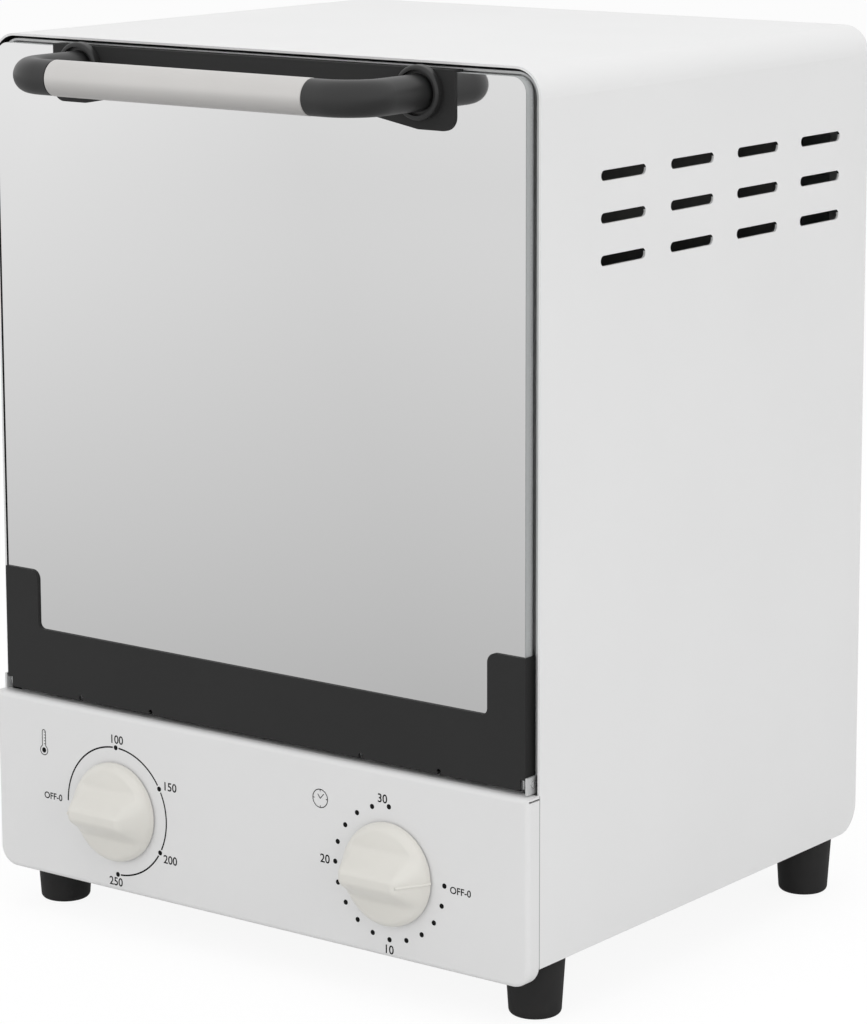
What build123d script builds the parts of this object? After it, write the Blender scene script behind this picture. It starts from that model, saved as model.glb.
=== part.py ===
from build123d import *
import math
import os

# Counter-top dry heat sterilizer: an upright folded-steel casing with a drop-down mirror door,
# a two-dial control panel below it and a heated chamber with a wire rack and a tray inside.
# Millimetres. X runs to the right, Y from front to back, Z up. The floor is Z = 0, and X = Y = 0 is
# the middle of the whole object's footprint, handle included.

os.makedirs("parts", exist_ok=True)

# Casing
body_width = 230.0
body_depth = 200.0  # control panel's face to the casing's rear edge
body_top = 308.0
sheet = 0.8
casing_corner = 9.8
casing_rise = 5.8  # casing's lower edge above the panel's lower edge
casing_flange = 11.0  # inward flange at the rear
casing_rear_corner = 10.0
ground_gap = 15.0  # floor to the control panel's lower edge

# Vent slots
vent_length = 25.0
vent_height = 3.4
vent_columns = 4
vent_rows = 3
vent_pitch_z = 13.5
vent_first_y = 50.7  # first column behind the panel's face
vent_last_y = 31.1  # last column in front of the rear edge
vent_drop = 36.4  # top row below the casing top

# Control panel
panel_height = 63.0
panel_depth = 5.9
panel_corner = 7.0
panel_bend = 1.8
panel_shelf = 10.0  # top and bottom flanges, measured from the panel's face
panel_slit = 0.6  # open seam under the top flange at each side
dial_inset = 55.7  # dial centre from the casing's side
dial_rise = 28.7  # dial centre above the panel's lower edge

# Face frame behind the door
face_setback = 10.5  # its front face behind the panel's face
rim_setback = 7.8
rim_side_gap = 1.3  # rim to casing
rim_top_gap = 1.0
rim_corner = 8.0
chamber_side_gap = 25.0  # chamber to the outside of the casing, for stays and terminals
chamber_top_gap = 9.0
chamber_rise = 84.0  # chamber floor above the panel's lower edge
chamber_corner = 8.0
chamber_depth = 166.7
liner_lip = 6.0  # flange welded to the face frame

# Door
glass_thickness = 4.0
glass_setback = 3.5
glass_corner = 5.0
glass_top_gap = 2.2  # glass to the underside of the casing
glass_foot = 10.0  # glass's lower edge above the panel's top
hinge_setback = 5.5
hinge_rise = 3.6  # hinge line above the panel's top
door_gap = 1.6  # door's lower edge above the panel's top
frame_band = 22.6  # black frame's height between its ears
frame_ear_height = 43.1
frame_ear_width = 15.0
frame_inner_corner = 2.2
frame_ear_corner = 3.2
frame_notch = 2.0  # cut-out that shows the hinge at each lower corner
frame_tab_x = 61.5
frame_tab_width = 31.0
relief_radius = 0.9
hinge_pin_d = 2.5
hinge_run = 0.05  # radial running clearance
side_gap = 0.3  # door to hinge ear
lug_length = 14.0
lug_corner = 1.0
lug_wall = 5.2  # solid inner end, where the pin stops
lug_setback = 1.0  # inside the frame's side
pin_proud = 0.5  # pin past the hinge ear
ear_reach = 3.2  # hinge ear in front of the hinge line
ear_height = 5.6
ear_lift = 0.5  # ear above the panel's top

# Top bracket and handle
bracket_width = 168.5
bracket_drop = 18.4  # ears, below the glass's top
bracket_middle_drop = 12.6
bracket_ear_inner = 70.0
bracket_slope = 33.0
bracket_corner = 4.5
bracket_rim_gap = 0.5  # top fold in front of the rim
handle_reach = 35.25  # front of the handle in front of the panel's face
handle_drop = 6.7  # handle's axis below the glass's top
tube_d = 11.9
tube_wall = 1.0
tube_length = 107.2
elbow_d = 11.7
elbow_x = 71.3
elbow_bend = 12.0
spigot_length = 14.0
spigot_clearance = 0.05
collar_d = 17.4
collar_thickness = 3.2
collar_round = 1.0
collar_recess = 1.6  # groove round the arm, from the collar's front
collar_recess_width = 1.3
handle_screw_d = 4.0
handle_screw_grip = 12.0
screw_clearance = 0.1
head_d = 8.0
head_height = 1.6
washer_d = 11.0
washer_thickness = 0.8
glass_hole_d = 6.0

# Door stays and springs
stay_inset = 7.2  # from the door frame's side
stay_radius = 30.0
stay_width = 5.0
stay_thickness = 1.2
stay_start = 84.0  # degrees above the hinge's rearward direction
stay_open_angle = 70.0  # tail's direction with the door open
stay_tab_rise = 30.9  # above the hinge line
stay_tab_width = 7.2
stay_tab_height = 12.0
rivet_margin = 0.2  # rivet head to the tab's inner edge
rivet_d = 3.0
rivet_head_d = 4.4
rivet_head = 0.8
rivet_pitch = 6.0
thread_slip = 0.02  # radial gap of a tight fit
spring_inset = 4.6  # spring's axis from its stay
spring_tab_inset = 2.6
spring_tab_width = 8.0
spring_hole_d = 2.8
stay_hook_height = 4.0
stay_hook_angle = 8.0
door_angle = 90.0
stay_slot_clearance = 0.6
spring_d = 7.0
spring_wire = 1.2
spring_hook_d = 1.5
spring_anchor_y = 118.0
spring_anchor_rise = 14.0  # above the base plate
spring_body = 52.0

# Knobs and controls
knob_d = 34.6
knob_height = 13.0
knob_gap = 0.5
knob_skirt = 3.0
knob_dome = 5.4
knob_bar_width = 12.6
knob_bar_draft = 2.1  # how far the bar's sides lean in
knob_bar_round = 1.8
knob_end_slope = 4.5  # the bar's ends slope back from the rim
knob_pointer = 0.4  # pointer rib's stand-off from the sloping end
knob_dome_inset = 7.4
knob_rib_length = 6.0
knob_rib_width = 1.8
knob_boss_d = 12.0
shaft_d = 6.0
shaft_run = 0.05
knob_bore_depth = 9.5
shaft_chamfer = 0.4
knob_cavity = 2.6
panel_hole_d = 10.0
bush_d = 9.4
bush_clearance = 0.1
thermostat_width = 28.0
thermostat_height = 34.0
thermostat_depth = 20.0
mount_plate = 1.0
mount_plate_size = 40.0
mount_plate_height = 36.0
mount_plate_corner = 3.0
timer_d = 38.0
timer_depth = 24.0
bell_d = 40.0
bell_depth = 9.0
bell_wall = 0.8
bell_round = 4.0
bell_gap = 1.5
bell_stem_d = 7.0
control_screw_d = 3.0
control_screw_pitch = 32.0
control_screw_head_d = 5.5
control_screw_head = 1.6

# Heaters, runners, rack and tray
heater_d = 6.5
heater_inset = 44.0  # from the chamber's front and back
heater_lift = 11.0  # from its floor and ceiling
bush_heater_d = 12.0
bush_heater_length = 9.0
terminal_d = 3.0
terminal_length = 8.0
runner_width = 7.0
runner_height = 6.0
runner_sheet = 1.0
runner_rises = (36.0, 84.0, 132.0)  # ledge tops above the chamber floor
runner_inset = 8.0
shelf_inset = 7.0  # rack and tray behind the face frame
rack_depth = 150.0
rack_side_gap = 1.7
rack_frame_d = 3.6
rack_wire_d = 2.4
rack_wires = 11
rack_corner = 9.0
rest_gap = 0.3
tray_lip_gap = 2.0
tray_lip = 6.8
tray_height = 14.0
tray_sheet = 0.8
tray_corner = 7.0

# Base, rear cover and feet
base_rise = 6.2  # base plate's underside above the panel's lower edge
base_flange = 18.0
base_bend = 10.0
cover_inset = 2.0
cover_bottom_rise = 2.0  # cover's lower edge above the base plate's underside
cover_vent_columns = 5
cover_vent_pitch_x = 36.0
cover_vent_drop = 58.0  # upper group's middle below the casing top
cover_vent_rise = 71.0  # lower group's middle above the panel's lower edge
bulkhead_gap = 14.2  # bulkhead to the casing's inside
bulkhead_margin = 5.0  # above the chamber's ceiling
bulkhead_notch_width = 60.0
bulkhead_notch_height = 34.0
cover_screw_d = 3.0
cover_screw_head_d = 6.0
cover_screw_head = 1.8
cover_screw_length = 6.0
foot_inset = 12.0  # foot centre from the casing's side
foot_front = 20.5
foot_rear = 15.5  # rear feet in front of the casing's rear edge
foot_top_d = 20.0
foot_draft = 1.4  # how far the side leans in
foot_edge = 1.8
foot_recess_d = 9.0
foot_recess = 6.0
foot_screw_d = 4.0
foot_screw_head_d = 8.0
foot_screw_head = 2.4
nut_height = 3.2
nut_across = 7.0
gland_inset = 45.0  # from the casing's side
gland_proud = 8.0
gland_d = 18.0
gland_neck_d = 12.0
gland_bore_d = 7.0
gland_inside = 7.0
gland_flange = 2.5
gland_draft = 2.0
block_length = 34.0
block_depth = 15.0
block_height = 13.0
block_offset = 30.0  # from the gland towards the middle
block_setback = 152.0
block_ways = 3
block_well_d = 5.0

# Derived places
overall_depth = handle_reach + body_depth + sheet + gland_proud
front = handle_reach - overall_depth / 2
casing_front = front + panel_depth
casing_rear = front + body_depth
casing_bottom = ground_gap + casing_rise
inner_width = body_width - 2 * sheet
inner_top = body_top - sheet
inner_corner = casing_corner - sheet
panel_top = ground_gap + panel_height
dial_x = body_width / 2 - dial_inset
dial_z = ground_gap + dial_rise
vent_pitch_y = (body_depth - vent_first_y - vent_last_y) / (vent_columns - 1)
base_under = ground_gap + base_rise
base_top = base_under + sheet
face_front = front + face_setback
face_back = face_front + sheet
rim_width = inner_width - 2 * rim_side_gap
rim_top = inner_top - rim_top_gap
chamber_floor = ground_gap + chamber_rise
chamber_ceiling = body_top - chamber_top_gap
chamber_width = body_width - 2 * chamber_side_gap
chamber_height = chamber_ceiling - chamber_floor
chamber_middle = (chamber_floor + chamber_ceiling) / 2
chamber_back = face_back + chamber_depth
glass_front = front + glass_setback
glass_back = glass_front + glass_thickness
glass_top = inner_top - glass_top_gap
glass_bottom = panel_top + glass_foot
door_front = glass_front - sheet
door_back = glass_back + sheet
door_bottom = panel_top + door_gap
door_half = rim_width / 2 - sheet - side_gap
glass_width = 2 * (door_half - sheet)
hinge_y = front + hinge_setback
hinge_z = panel_top + hinge_rise
lug_height = 2 * (hinge_z - door_bottom)
stay_x = door_half - stay_inset
stay_tab_z = hinge_z + stay_tab_rise
rivet_x = stay_x + stay_thickness / 2 - stay_tab_width + rivet_margin + rivet_head_d / 2
spring_x = stay_x - spring_inset
spring_tab_x = stay_x - spring_tab_inset
handle_y = front - handle_reach + tube_d / 2
handle_z = glass_top - handle_drop
stay_low = stay_open_angle - door_angle
tail_turn = math.radians(stay_low + stay_hook_angle / 2)
tail_y = hinge_y + stay_radius * math.cos(tail_turn)
tail_z = hinge_z + stay_radius * math.sin(tail_turn)
cover_front = casing_rear
cover_back = cover_front + sheet
flange_bottom = base_under + base_flange + rest_gap
gland_x = body_width / 2 - gland_inset
gland_z = flange_bottom + gland_d / 2
block_x = gland_x - block_offset
foot_x = body_width / 2 - foot_inset
bulkhead_width = inner_width - 2 * bulkhead_gap
foot_places = {
    "front_left": (-foot_x, front + foot_front),
    "front_right": (foot_x, front + foot_front),
    "rear_left": (-foot_x, casing_rear - foot_rear),
    "rear_right": (foot_x, casing_rear - foot_rear),
}
runner_tops = [chamber_floor + rise for rise in runner_rises]
heater_places = [
    (y, z)
    for y in (face_back + heater_inset, chamber_back - heater_inset)
    for z in (chamber_floor + heater_lift, chamber_ceiling - heater_lift)
]


def facing(y):
    # front-view plane at y: local x is X and local y is Z
    return Plane.XZ.offset(-y)


def arch(width, bottom, top, radius):
    # front outline with its two upper corners rounded
    with BuildSketch() as outline:
        with Locations((0, (bottom + top) / 2)):
            Rectangle(width, top - bottom)
        fillet(outline.vertices().group_by(Axis.Y)[-1], radius)
    return outline.sketch


def lean(inset, height):
    # taper in degrees of a side that leans in by inset over its height
    return math.degrees(math.atan2(inset, height))


def save(piece, name):
    piece.part.label = name
    export_step(piece.part, f"parts/{name}.step")


# Casing: top and two sides from one sheet
screw_side_x = inner_width / 2 - casing_flange / 2
screw_heights = (flange_bottom + casing_flange, chamber_middle, inner_top - 2 * casing_flange)
cover_screw_places = [(side * screw_side_x, z) for side in (-1, 1) for z in screw_heights]

with BuildPart() as outer_casing:
    with BuildSketch(facing(casing_front)):
        add(arch(body_width, casing_bottom, body_top, casing_corner))
        add(arch(inner_width, casing_bottom, inner_top, inner_corner), mode=Mode.SUBTRACT)
    extrude(amount=casing_front - casing_rear)
    with BuildSketch(facing(casing_rear - sheet)):
        add(arch(inner_width, flange_bottom, inner_top, inner_corner))
        add(
            arch(inner_width - 2 * casing_flange, flange_bottom, inner_top - casing_flange, sheet),
            mode=Mode.SUBTRACT,
        )
    extrude(amount=-sheet)
    with BuildSketch(facing(casing_rear)):
        with Locations(*cover_screw_places):
            Circle(cover_screw_d / 2)
    extrude(amount=2 * sheet, mode=Mode.SUBTRACT)
    vent_middle_y = front + vent_first_y + (vent_columns - 1) * vent_pitch_y / 2
    vent_middle_z = body_top - vent_drop - (vent_rows - 1) * vent_pitch_z / 2
    with BuildSketch(Plane.YZ):
        with Locations((vent_middle_y, vent_middle_z)):
            with GridLocations(vent_pitch_y, vent_pitch_z, vent_columns, vent_rows):
                SlotOverall(vent_length, vent_height)
    extrude(amount=body_width, both=True, mode=Mode.SUBTRACT)
    rear_corners = outer_casing.edges().filter_by(Axis.X).group_by(Axis.Z)[0].group_by(Axis.Y)[-1]
    fillet(rear_corners, casing_rear_corner)
save(outer_casing, "outer_casing")

# Base plate: a tray that is open at the front, inside the casing's sides
base_front = casing_front + rest_gap


def tray_side(bottom, rear, radius):
    # side outline of the base: open at the front, bent up at the rear
    top = base_under + base_flange
    with BuildSketch() as outline:
        with Locations(((base_front + rear) / 2, (bottom + top) / 2)):
            Rectangle(rear - base_front, top - bottom)
        fillet(outline.vertices().group_by(Axis.Y)[0].sort_by(Axis.X)[-1], radius)
    return outline.sketch


with BuildPart() as base_plate:
    with BuildSketch(Plane.YZ.offset(-inner_width / 2)):
        add(tray_side(base_under, casing_rear, base_bend))
    extrude(amount=inner_width)
    with BuildSketch(Plane.YZ.offset(sheet - inner_width / 2)):
        add(tray_side(base_top, casing_rear - sheet, base_bend - sheet))
    extrude(amount=inner_width - 2 * sheet, mode=Mode.SUBTRACT)
    with BuildSketch(Plane.XY.offset(base_under)):
        with Locations(*foot_places.values()):
            Circle(foot_screw_d / 2 + screw_clearance)
        with Locations((0, (base_front + casing_rear) / 2)):
            with GridLocations(vent_pitch_y, vent_pitch_z, vent_columns, vent_rows):
                SlotOverall(vent_length, vent_height)
    extrude(amount=sheet, mode=Mode.SUBTRACT)
    # lanced tabs that hold the door springs
    tab_rise = spring_anchor_rise + spring_tab_width / 2
    for side in (-1, 1):
        with BuildSketch(Plane.YZ.offset(side * spring_tab_x)):
            with Locations((front + spring_anchor_y, base_top + tab_rise / 2 - sheet / 2)):
                Rectangle(spring_tab_width, tab_rise + sheet)
            with Locations((front + spring_anchor_y, base_top + spring_anchor_rise)):
                Circle(spring_hole_d / 2, mode=Mode.SUBTRACT)
        extrude(amount=side * sheet)
save(base_plate, "base_plate")

# Rear cover with vents and the cord's hole
cover_bottom = base_under + cover_bottom_rise
with BuildPart() as rear_cover:
    with BuildSketch(facing(cover_front)):
        add(
            arch(
                body_width - 2 * cover_inset,
                cover_bottom,
                body_top - cover_inset,
                casing_corner - cover_inset,
            )
        )
        with Locations(*cover_screw_places):
            Circle(cover_screw_d / 2 + screw_clearance, mode=Mode.SUBTRACT)
        with Locations((gland_x, gland_z)):
            Circle(gland_neck_d / 2, mode=Mode.SUBTRACT)
        for group_z in (body_top - cover_vent_drop, ground_gap + cover_vent_rise):
            with Locations((0, group_z)):
                with GridLocations(cover_vent_pitch_x, vent_pitch_z, cover_vent_columns, vent_rows):
                    SlotOverall(vent_length, vent_height, mode=Mode.SUBTRACT)
    extrude(amount=-sheet)
    lower_corners = rear_cover.edges().filter_by(Axis.Y).group_by(Axis.Z)[0]
    fillet(lower_corners, casing_rear_corner)
save(rear_cover, "rear_cover")

# Control panel: a shallow pan, open at the back, with a shelf along its top and bottom
panel_middle = ground_gap + panel_height / 2
return_height = base_under - ground_gap
shelf_width = inner_width - 2 * panel_corner
with BuildPart() as control_panel:
    with BuildSketch(facing(front)) as panel_outline:
        with Locations((0, panel_middle)):
            Rectangle(body_width, panel_height)
        fillet(panel_outline.vertices().group_by(Axis.Y)[0], panel_corner)
    extrude(amount=-panel_depth)
    fillet(control_panel.faces().sort_by(Axis.Y)[0].edges(), panel_bend)
    with BuildSketch(facing(front + sheet)) as panel_inside:
        with Locations((0, panel_middle)):
            Rectangle(inner_width, panel_height - 2 * sheet)
        fillet(panel_inside.vertices().group_by(Axis.Y)[0], panel_corner - sheet)
    extrude(amount=-panel_depth, mode=Mode.SUBTRACT)
    with BuildSketch(facing(casing_front)):
        with Locations((0, panel_top - sheet / 2)):
            Rectangle(shelf_width, sheet)
        with Locations((0, ground_gap + sheet / 2)):
            Rectangle(shelf_width, sheet)
    extrude(amount=panel_depth - panel_shelf)
    with BuildSketch(facing(front + panel_shelf - sheet)):
        with Locations((0, ground_gap + return_height / 2)):
            Rectangle(shelf_width, return_height)
    extrude(amount=-sheet)
    with BuildSketch(facing(front + sheet)):
        for side in (-1, 1):
            with Locations((side * body_width / 2, panel_top - sheet - panel_slit / 2)):
                Rectangle(4 * sheet, panel_slit)
    extrude(amount=-panel_depth, mode=Mode.SUBTRACT)
    with BuildSketch(facing(front)):
        with Locations((-dial_x, dial_z), (dial_x, dial_z)):
            Circle(panel_hole_d / 2)
    extrude(amount=-2 * sheet, mode=Mode.SUBTRACT)
save(control_panel, "control_panel")

# Face frame: chamber front, rim round the door, hinge ears, and the apron that carries the controls
ear_middle_z = panel_top + ear_lift + ear_height / 2
ear_x = rim_width / 2 - sheet / 2
ear_front = hinge_y - ear_reach
stay_slot_low = hinge_z + math.sqrt((stay_radius - stay_width / 2) ** 2 - (face_back - hinge_y) ** 2)
stay_slot_high = hinge_z + stay_radius + stay_width / 2
with BuildPart() as face_frame:
    with BuildSketch(facing(face_front)):
        add(arch(rim_width, base_top, rim_top, rim_corner))
        with BuildSketch(mode=Mode.PRIVATE) as mouth:
            with Locations((0, chamber_middle)):
                RectangleRounded(chamber_width, chamber_height, chamber_corner)
        add(mouth.sketch, mode=Mode.SUBTRACT)
        with Locations((-dial_x, dial_z), (dial_x, dial_z)):
            Circle(bush_d / 2 + bush_clearance, mode=Mode.SUBTRACT)
        for side in (-1, 1):
            with Locations((side * dial_x, dial_z)):
                with GridLocations(control_screw_pitch, control_screw_pitch, 2, 1):
                    Circle(control_screw_d / 2 + screw_clearance, mode=Mode.SUBTRACT)
            with Locations((side * stay_x, (stay_slot_low + stay_slot_high) / 2)):
                Rectangle(
                    stay_thickness + 2 * stay_slot_clearance,
                    stay_slot_high - stay_slot_low + 2 * stay_slot_clearance,
                    mode=Mode.SUBTRACT,
                )
    extrude(amount=-sheet)
    with BuildSketch(facing(front + rim_setback)):
        add(arch(rim_width, panel_top + ear_lift, rim_top, rim_corner))
        add(
            arch(rim_width - 2 * sheet, panel_top + ear_lift, rim_top - sheet, rim_corner - sheet),
            mode=Mode.SUBTRACT,
        )
    extrude(amount=rim_setback - face_setback)
    for side in (-1, 1):
        with BuildSketch(Plane.YZ.offset(side * ear_x - sheet / 2)):
            with Locations(((ear_front + face_front) / 2, ear_middle_z)):
                Rectangle(face_front - ear_front, ear_height)
            with Locations((hinge_y, hinge_z)):
                Circle(hinge_pin_d / 2 + hinge_run, mode=Mode.SUBTRACT)
        extrude(amount=sheet)
save(face_frame, "face_frame")

# Chamber: a square tube behind the face frame, closed by the rear bulkhead
liner_width = chamber_width + 2 * sheet
liner_height = chamber_height + 2 * sheet
with BuildPart() as chamber_liner:
    with BuildSketch(facing(face_back)):
        with Locations((0, chamber_middle)):
            RectangleRounded(liner_width, liner_height, chamber_corner + sheet)
            RectangleRounded(chamber_width, chamber_height, chamber_corner, mode=Mode.SUBTRACT)
    extrude(amount=-chamber_depth)
    with BuildSketch(facing(face_back)):
        with Locations((0, chamber_middle)):
            RectangleRounded(liner_width + 2 * liner_lip, liner_height + 2 * liner_lip, chamber_corner)
            RectangleRounded(liner_width - sheet, liner_height - sheet, chamber_corner, mode=Mode.SUBTRACT)
    extrude(amount=-sheet)
    with BuildSketch(Plane.YZ):
        with Locations(*heater_places):
            Circle(bush_heater_d / 2)
    extrude(amount=body_width, both=True, mode=Mode.SUBTRACT)
save(chamber_liner, "chamber_liner")

with BuildPart() as rear_bulkhead:
    with BuildSketch(facing(chamber_back)):
        bulkhead_top = chamber_ceiling + bulkhead_margin
        with Locations((0, (base_top + bulkhead_top) / 2)):
            Rectangle(bulkhead_width, bulkhead_top - base_top)
        with Locations((gland_x - bulkhead_notch_width / 4, base_top + bulkhead_notch_height / 2)):
            Rectangle(bulkhead_notch_width, bulkhead_notch_height, mode=Mode.SUBTRACT)
    extrude(amount=-sheet)
    # two feet folded back onto the rear cover keep it upright
    with BuildSketch(facing(chamber_back)):
        for side in (-1, 1):
            with Locations((side * (bulkhead_width - sheet) / 2, chamber_middle)):
                Rectangle(sheet, chamber_height - 2 * casing_flange)
    extrude(amount=chamber_back - cover_front)
save(rear_bulkhead, "rear_bulkhead")

# Ledges on the chamber's side walls, three levels
runner_front = face_back + runner_inset
runner_length = chamber_depth - 2 * runner_inset
with BuildPart() as shelf_runners:
    for side in (-1, 1):
        for top in runner_tops:
            with BuildSketch(facing(runner_front)):
                with Locations((side * (chamber_width - runner_width) / 2, top - runner_sheet / 2)):
                    Rectangle(runner_width, runner_sheet)
                with Locations((side * (chamber_width - runner_sheet) / 2, top - runner_height / 2)):
                    Rectangle(runner_sheet, runner_height)
            extrude(amount=-runner_length)
save(shelf_runners, "shelf_runners")

# Four heater tubes across the chamber, in ceramic bushes, with a terminal pin at each end
bush_x = (chamber_width / 2 - sheet, chamber_width / 2 - sheet + bush_heater_length)
with BuildPart() as heater_bushes:
    for side in (-1, 1):
        with BuildSketch(Plane.YZ.offset(side * bush_x[0])):
            with Locations(*heater_places):
                Circle(bush_heater_d / 2)
                Circle(heater_d / 2, mode=Mode.SUBTRACT)
        extrude(amount=side * bush_heater_length)
save(heater_bushes, "heater_bushes")

with BuildPart() as heater_tubes:
    with BuildSketch(Plane.YZ):
        with Locations(*heater_places):
            Circle(heater_d / 2)
    extrude(amount=bush_x[1], both=True)
save(heater_tubes, "heater_tubes")

with BuildPart() as heater_terminals:
    for side in (-1, 1):
        with BuildSketch(Plane.YZ.offset(side * bush_x[1])):
            with Locations(*heater_places):
                Circle(terminal_d / 2)
        extrude(amount=side * terminal_length)
save(heater_terminals, "heater_terminals")

# Thermostat and timer hang on the apron, their bushes pass through it
control_screw_places = [
    (side * dial_x + step * control_screw_pitch / 2, dial_z) for side in (-1, 1) for step in (-1, 1)
]
shaft_end = face_back + mount_plate + thermostat_depth / 2
shaft_front = front - knob_gap - knob_bore_depth
bush_front = front + panel_depth


def mount_face(x):
    # mounting plate's outline with its two screw holes
    with BuildSketch() as outline:
        with Locations((x, dial_z)):
            RectangleRounded(mount_plate_size, mount_plate_height, mount_plate_corner)
            with GridLocations(control_screw_pitch, control_screw_pitch, 2, 1):
                Circle(control_screw_d / 2 + thread_slip, mode=Mode.SUBTRACT)
    return outline.sketch


def disc(x, z, d):
    with BuildSketch() as outline:
        with Locations((x, z)):
            Circle(d / 2)
    return outline.sketch


with BuildPart() as thermostat_body:
    with BuildSketch(facing(face_back)):
        add(mount_face(-dial_x))
    extrude(amount=-mount_plate)
    with BuildSketch(facing(face_back + mount_plate)):
        with Locations((-dial_x, dial_z)):
            RectangleRounded(thermostat_width, thermostat_height, mount_plate_corner)
    extrude(amount=-thermostat_depth)
    with BuildSketch(facing(bush_front)):
        add(disc(-dial_x, dial_z, bush_d))
    extrude(amount=bush_front - face_back)
    with BuildSketch(facing(bush_front)):
        add(disc(-dial_x, dial_z, shaft_d + 2 * shaft_run))
    extrude(amount=bush_front - shaft_end - shaft_run, mode=Mode.SUBTRACT)
save(thermostat_body, "thermostat_body")

timer_back = face_back + mount_plate + timer_depth
with BuildPart() as timer_body:
    with BuildSketch(facing(face_back)):
        add(mount_face(dial_x))
    extrude(amount=-mount_plate)
    with BuildSketch(facing(face_back + mount_plate)):
        add(disc(dial_x, dial_z, timer_d))
    extrude(amount=-timer_depth)
    with BuildSketch(facing(bush_front)):
        add(disc(dial_x, dial_z, bush_d))
    extrude(amount=bush_front - face_back)
    with BuildSketch(facing(bush_front)):
        add(disc(dial_x, dial_z, shaft_d + 2 * shaft_run))
    extrude(amount=bush_front - shaft_end - shaft_run, mode=Mode.SUBTRACT)
save(timer_body, "timer_body")

# Bell: a pressed cup on a short stem behind the timer
bell_front = timer_back + bell_gap
with BuildPart() as timer_bell:
    with BuildSketch(facing(timer_back)):
        add(disc(dial_x, dial_z, bell_stem_d))
    extrude(amount=-(bell_gap + bell_depth))
    with BuildSketch(facing(bell_front)):
        add(disc(dial_x, dial_z, bell_d))
    extrude(amount=-bell_depth)
    fillet(timer_bell.faces().sort_by(Axis.Y)[-1].edges(), bell_round)
    with BuildSketch(facing(bell_front)):
        add(disc(dial_x, dial_z, bell_d - 2 * bell_wall))
        add(disc(dial_x, dial_z, bell_stem_d), mode=Mode.SUBTRACT)
    extrude(amount=-(bell_depth - bell_round), mode=Mode.SUBTRACT)
save(timer_bell, "timer_bell")

with BuildPart() as control_screws:
    with BuildSketch(facing(face_front)):
        with Locations(*control_screw_places):
            Circle(control_screw_head_d / 2)
    extrude(amount=control_screw_head)
    with BuildSketch(facing(face_front)):
        with Locations(*control_screw_places):
            Circle(control_screw_d / 2)
    extrude(amount=-(sheet + mount_plate))
save(control_screws, "control_screws")

for side, name in ((-1, "thermostat_shaft"), (1, "timer_shaft")):
    with BuildPart() as shaft:
        with BuildSketch(facing(shaft_front)):
            add(disc(side * dial_x, dial_z, shaft_d))
        extrude(amount=shaft_front - shaft_end)
        chamfer(shaft.faces().sort_by(Axis.Y)[0].edges(), shaft_chamfer)
    save(shaft, name)

# Knobs: a low dome, a grip bar across it with sloping ends, and a pointer rib down one end
knob_back = front - knob_gap
skirt_y = knob_back - knob_skirt
dome_rise = knob_dome - knob_skirt
bar_rise = knob_height - knob_skirt
slope_rise = bar_rise - dome_rise
rib_end = knob_d / 2 + knob_pointer
rib_rise = bar_rise - knob_bar_round
rib_tip = rib_end - knob_end_slope * (rib_rise - dome_rise) / slope_rise
for side, name in ((-1, "temperature_knob"), (1, "timer_knob")):
    with BuildPart() as knob:
        with BuildSketch(facing(knob_back)):
            add(disc(side * dial_x, dial_z, knob_d))
        extrude(amount=knob_skirt)
        with BuildSketch(facing(skirt_y)):
            add(disc(side * dial_x, dial_z, knob_d))
        extrude(amount=dome_rise, taper=lean(knob_dome_inset, dome_rise))
        with BuildSketch(facing(skirt_y)):
            with Locations((side * dial_x, dial_z)):
                Circle(knob_d / 2)
                Rectangle(knob_d, knob_bar_width, mode=Mode.INTERSECT)
        extrude(amount=bar_rise, taper=lean(knob_bar_draft, bar_rise))
        with BuildSketch(Plane.XY.offset(dial_z)):
            for end in (-1, 1):
                rim_x = side * dial_x + end * knob_d / 2
                with BuildLine():
                    Polyline(
                        (rim_x, skirt_y - dome_rise),
                        (rim_x - end * knob_end_slope, skirt_y - bar_rise),
                        (rim_x, skirt_y - bar_rise),
                        close=True,
                    )
                make_face()
        extrude(amount=knob_bar_width, both=True, mode=Mode.SUBTRACT)
        fillet(knob.faces().sort_by(Axis.Y)[0].edges(), knob_bar_round)
        with BuildSketch(Plane.XY.offset(dial_z)):
            with BuildLine():
                Polyline(
                    (side * (dial_x + rib_end - knob_rib_length), skirt_y),
                    (side * (dial_x + rib_end), skirt_y),
                    (side * (dial_x + rib_end), skirt_y - dome_rise),
                    (side * (dial_x + rib_tip), skirt_y - rib_rise),
                    (side * (dial_x + rib_end - knob_rib_length), skirt_y - rib_rise),
                    close=True,
                )
            make_face()
        extrude(amount=knob_rib_width / 2, both=True)
        with BuildSketch(facing(knob_back)):
            add(disc(side * dial_x, dial_z, knob_d - 2 * knob_skirt))
            add(disc(side * dial_x, dial_z, knob_boss_d), mode=Mode.SUBTRACT)
        extrude(amount=knob_cavity, mode=Mode.SUBTRACT)
        with BuildSketch(facing(knob_back)):
            add(disc(side * dial_x, dial_z, shaft_d + 2 * shaft_run))
        extrude(amount=knob_bore_depth, mode=Mode.SUBTRACT)
    save(knob, name)

# Door glass, a mirror pane
handle_places = [(-elbow_x, handle_z), (elbow_x, handle_z)]
with BuildPart() as door_glass:
    with BuildSketch(facing(glass_front)):
        add(arch(glass_width, glass_bottom, glass_top, glass_corner))
        with Locations(*handle_places):
            Circle(glass_hole_d / 2, mode=Mode.SUBTRACT)
    extrude(amount=-glass_thickness)
save(door_glass, "door_glass")

# Lower door frame: a folded channel round the glass's foot, with an ear up each side
rivet_levels = (stay_tab_z - rivet_pitch / 2, stay_tab_z + rivet_pitch / 2)
rivet_places = [(side * rivet_x, z) for side in (-1, 1) for z in rivet_levels]


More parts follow.
